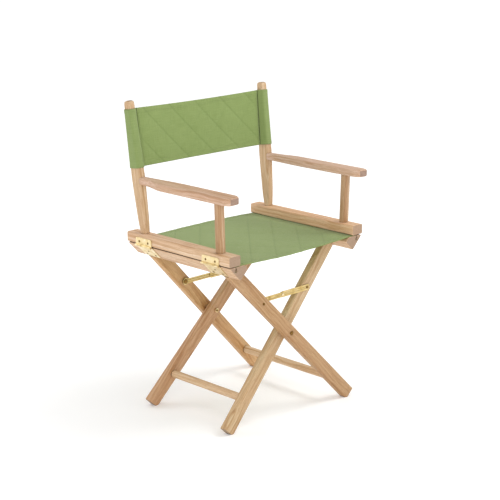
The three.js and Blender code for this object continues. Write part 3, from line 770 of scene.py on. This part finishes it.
def seat_span():
    shares = np.linspace(-1, 1, SEAT_COLUMNS)
    deep = np.linspace(-SEAT_HALF, SEAT_HALF, SEAT_ROWS)
    x = shares * SEAT_TURN
    bow = 1 - shares ** 2
    fade = np.clip((1 - np.abs(shares)) * SEAT_FADE, 0, 1)
    phase = np.random.RandomState(11).uniform(0, 6.28, 8)
    rows, crease, doubled = [], [], []
    for y in deep:
        fine1, broad1 = diagonals(x, y, *SEAT_CREASES[0])
        fine2, broad2 = diagonals(x, y, *SEAT_CREASES[1])
        groove = fade * (0.55 * fine1 + 0.25 * fine2)
        puff = fade * (0.5 * (1 - broad1) + 0.3 * (1 - broad2))
        ripple = (0.5 * np.sin(x * 27 + y * 18 + phase[1])
                  + 0.3 * np.sin(x * 49 - y * 37 + phase[2]))
        sag = SEAT_SAG - SEAT_TILT * y / SEAT_HALF
        z = SPLIT - sag * bow - fade * RIPPLE * ripple - SEAT_GROOVE * groove + SEAT_PUFF * puff
        inset = SEAT_INSET * bow * (y / SEAT_HALF) ** 2 * (y > 0)
        rows.append(np.stack([x, y - inset, z], -1))
        crease.append(fade * (0.75 * fine1 + 0.35 * fine2))
        doubled.append(np.full(len(shares), hem_share(SEAT_HALF - abs(y))))
    rows = np.array(rows)
    obj = cloth("seat_span", rows, x, deep, canvas_material, crease=crease, doubled=doubled)
    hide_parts("seat_sling")
    lines = []
    for label, row in SEAT_HEM_ROWS:
        top = rows[row] + np.array([0, 0, CLOTH])
        lines.append(stitches("seat_hem_stitches_" + label, top, (0, 0, 1)))
    for piece in [obj] + lines:
        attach(piece, "right_arm")
        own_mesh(piece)


def seat_end(side):
    """The end of the seat: round its rod, up the slot and over the rail."""
    wrap = [(GROOVE.x + ROD_WRAP * math.cos(math.radians(a)),
             GROOVE.z + ROD_WRAP * math.sin(math.radians(a))) for a in WRAP_ANGLES]
    up_slot = [(GROOVE.x - 0.0003, GROOVE.z + 0.0066), (GROOVE.x - 0.0004, SPLIT - 0.0012)]
    over_rail = [(GROOVE.x - 0.0014, SPLIT), (SEAT_TURN + 0.012, SPLIT),
                 (SEAT_TURN - 0.0003, SPLIT)]
    line = [(GROOVE.x + 0.0004, GROOVE.z + 0.0065)] + wrap[:-2] + up_slot + over_rail
    section, want = evenly(np.array(line), END_POINTS)
    deep = np.linspace(-SEAT_HALF, SEAT_HALF, END_ROWS)
    rows = np.array([[(side * p[0], y, p[1]) for p in section] for y in deep])
    if side < 0:
        rows = rows[:, ::-1]
    obj = cloth("seat_end_" + ("left" if side > 0 else "right"), rows, want, deep,
                canvas_material, thickness=END_CLOTH)
    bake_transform(obj)


seat_span()
for side in (1, -1):
    seat_end(side)


# ---- Screws of the lower leaves, and crosses of painted shade in the recesses of all the hinge screws ----
SCREW_RADIUS = 3.3 * MM
SCREW_SIDES = 20
# Rings of a screw's head: share of its radius, and height over the leaf.
SCREW_PROFILE = ((1.0, -0.0004), (1.0, 0.00005), (0.93, 0.00028), (0.6, 0.00052))
CROSS_REACH = 1.7 * MM
CROSS_HALF = 0.225 * MM  # half the width of an arm of the cross
CROSS_DEPTH, CROSS_LIFT = 0.0003, 0.00006
PIN_STAND_OFF = 0.0035  # from the rail's face outwards to the pin's axis
LEAF = 0.0018  # thickness of a leaf
LEAF_FACE = LEAF - PIN_STAND_OFF  # from the pin's axis outwards to the face of a leaf
LEAF_SCREWS = ((0.026, 0), (0.042, -0.0175), (0.042, 0.0175))  # down the leaf, and along the rail
HINGE_SETTINGS = (("front", -0.131), ("rear", 0.131))


def plane_of(normal):
    """A normal of length 1, and two directions across it."""
    normal = Vector(normal).normalized()
    side = normal.orthogonal().normalized()
    return normal, side, normal.cross(side)


def screw_head(name, place, normal, turn, body):
    """A countersunk head, just proud of its leaf, with a cross recess."""
    normal, side, other = plane_of(normal)
    built = bmesh.new()
    loft(built, [ring(built, place + normal * lift, side, other, SCREW_RADIUS * share, SCREW_SIDES)
                 for share, lift in SCREW_PROFILE])
    obj = solid(name, built, screw_material, smooth=(4,))
    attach(obj, body)
    recess(name + "_recess", place + normal * SCREW_PROFILE[-1][1], normal, turn, body)


def recess(name, place, normal, turn, body):
    """The dark cross of a screw, turned by an angle: painted shade of its recess, as a thin solid
    just proud of the head.
    """
    normal, side, other = plane_of(normal)
    built = bmesh.new()
    outline = []
    for quarter in range(4):
        angle = turn + quarter * math.pi / 2
        for a, b in ((CROSS_REACH, -CROSS_HALF), (CROSS_REACH, CROSS_HALF),
                     (CROSS_HALF, CROSS_HALF)):
            outline.append(side * (a * math.cos(angle) - b * math.sin(angle))
                           + other * (a * math.sin(angle) + b * math.cos(angle)))
    loft(built, [[built.verts.new(place + normal * lift + point) for point in outline]
                 for lift in (-CROSS_DEPTH, CROSS_LIFT)])
    obj = solid(name, built, recess_material)
    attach(obj, body)


for side, body, label in ((1, "inner_frame", "left"), (-1, "outer_frame", "right")):
    outward = Vector((side * math.cos(OPEN), 0, -math.sin(OPEN)))
    down = Vector((-side * math.sin(OPEN), 0, -math.cos(OPEN)))
    pin = Vector((side * PIN.x, 0, PIN.z))
    for end, y in HINGE_SETTINGS:
        for k, (drop, shift) in enumerate(LEAF_SCREWS):
            place = pin + down * drop + outward * LEAF_FACE + Vector((0, y + shift, 0))
            screw_head(f"{label}_lower_screw_{end}_{k}", place, outward, 0.4 + k + side, body)
for name in sorted(NODES):
    if "hinge_screw" in name:
        low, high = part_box(name)
        side = 1 if high.x > 0 else -1
        top = high.x if side > 0 else low.x
        place = Vector((top, (low.y + high.y) / 2, (low.z + high.z) / 2))
        turn = (low.y * 37) % 1.5
        recess(name + "_recess", place, (side, 0, 0), turn, "left_arm" if side > 0 else "right_arm")


# ---- Stage: floor, light and camera ----
FLOOR_HALF = 40
FLOOR_TONES = ((0.3, (0.90, 0.90, 0.90, 1)), (0.7, (0.92, 0.92, 0.92, 1)))
FLOOR_GLOW = (0.3, 1.8, 0.15, 0.45)  # from one radius to another, and the glow at each
WORLD_STRENGTH = 0.68
# Name, place, target, width and depth in metres, and power in watts.
LIGHTS = (
    ("key", (1.5, -1.1, 2.6), (0, 0, 0.45), (1.4, 1.4), 34),
    ("fill", (-2.4, -1.8, 1.5), (0, 0, 0.5), (2.2, 1.8), 28),
    ("rim", (-0.6, 2.2, 2.2), (0, 0, 0.6), (1.5, 1.0), 14),
)
EYE = (-2.63795, -2.64891, 1.43057)
AZIMUTH = math.radians(-45.05)
ELEVATION = math.radians(14.84)
SENSOR = 36
LENS = 100.19


def floor_material():
    n = Nodes("floor")
    where = n.position()
    n.put(n.shader.inputs["Base Color"], n.ramp(n.noise(where, 3.0, 4.0), FLOOR_TONES))
    radius = n.add("ShaderNodeVectorMath", operation="LENGTH")
    n.put(radius.inputs[0], where)
    n.put(n.shader.inputs["Emission Strength"], n.level(radius.outputs["Value"], *FLOOR_GLOW))
    n.set(Emission_Color=(1, 1, 1, 1), Roughness=0.75, Specular_IOR_Level=0.15)
    return n.material


def place_and_aim(obj, place, direction):
    SCENE.collection.objects.link(obj)
    obj.location = place
    obj.rotation_mode = "QUATERNION"
    obj.rotation_quaternion = direction.to_track_quat("-Z", "Y")


mesh = bpy.data.meshes.new("floor")
corners = [(x * FLOOR_HALF, y * FLOOR_HALF, 0) for x, y in ((-1, -1), (1, -1), (1, 1), (-1, 1))]
mesh.from_pydata(corners, [], [(0, 1, 2, 3)])
mesh.materials.append(floor_material())
floor = bpy.data.objects.new("floor", mesh)
SCENE.collection.objects.link(floor)
floor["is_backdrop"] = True

world = bpy.data.worlds.new("studio")
SCENE.world = world
world.use_nodes = True
world.node_tree.nodes["Background"].inputs["Color"].default_value = (1, 1, 1, 1)
world.node_tree.nodes["Background"].inputs["Strength"].default_value = WORLD_STRENGTH

for name, place, target, size, power in LIGHTS:
    light = bpy.data.lights.new(name, "AREA")
    light.shape = "RECTANGLE"
    light.size, light.size_y = size
    light.energy = power
    place_and_aim(bpy.data.objects.new(name, light), place, Vector(target) - Vector(place))

SCENE.view_settings.view_transform = "Standard"
SCENE.view_settings.look = "None"

camera_data = bpy.data.cameras.new("camera")
camera_data.lens = LENS
camera_data.sensor_width = SENSOR
camera_data.clip_start, camera_data.clip_end = 0.1, 200
camera = bpy.data.objects.new("camera", camera_data)
place_and_aim(camera, EYE, Vector((-math.sin(AZIMUTH) * math.cos(ELEVATION),
                                   math.cos(AZIMUTH) * math.cos(ELEVATION),
                                   -math.sin(ELEVATION))))
SCENE.camera = camera

low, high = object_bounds()
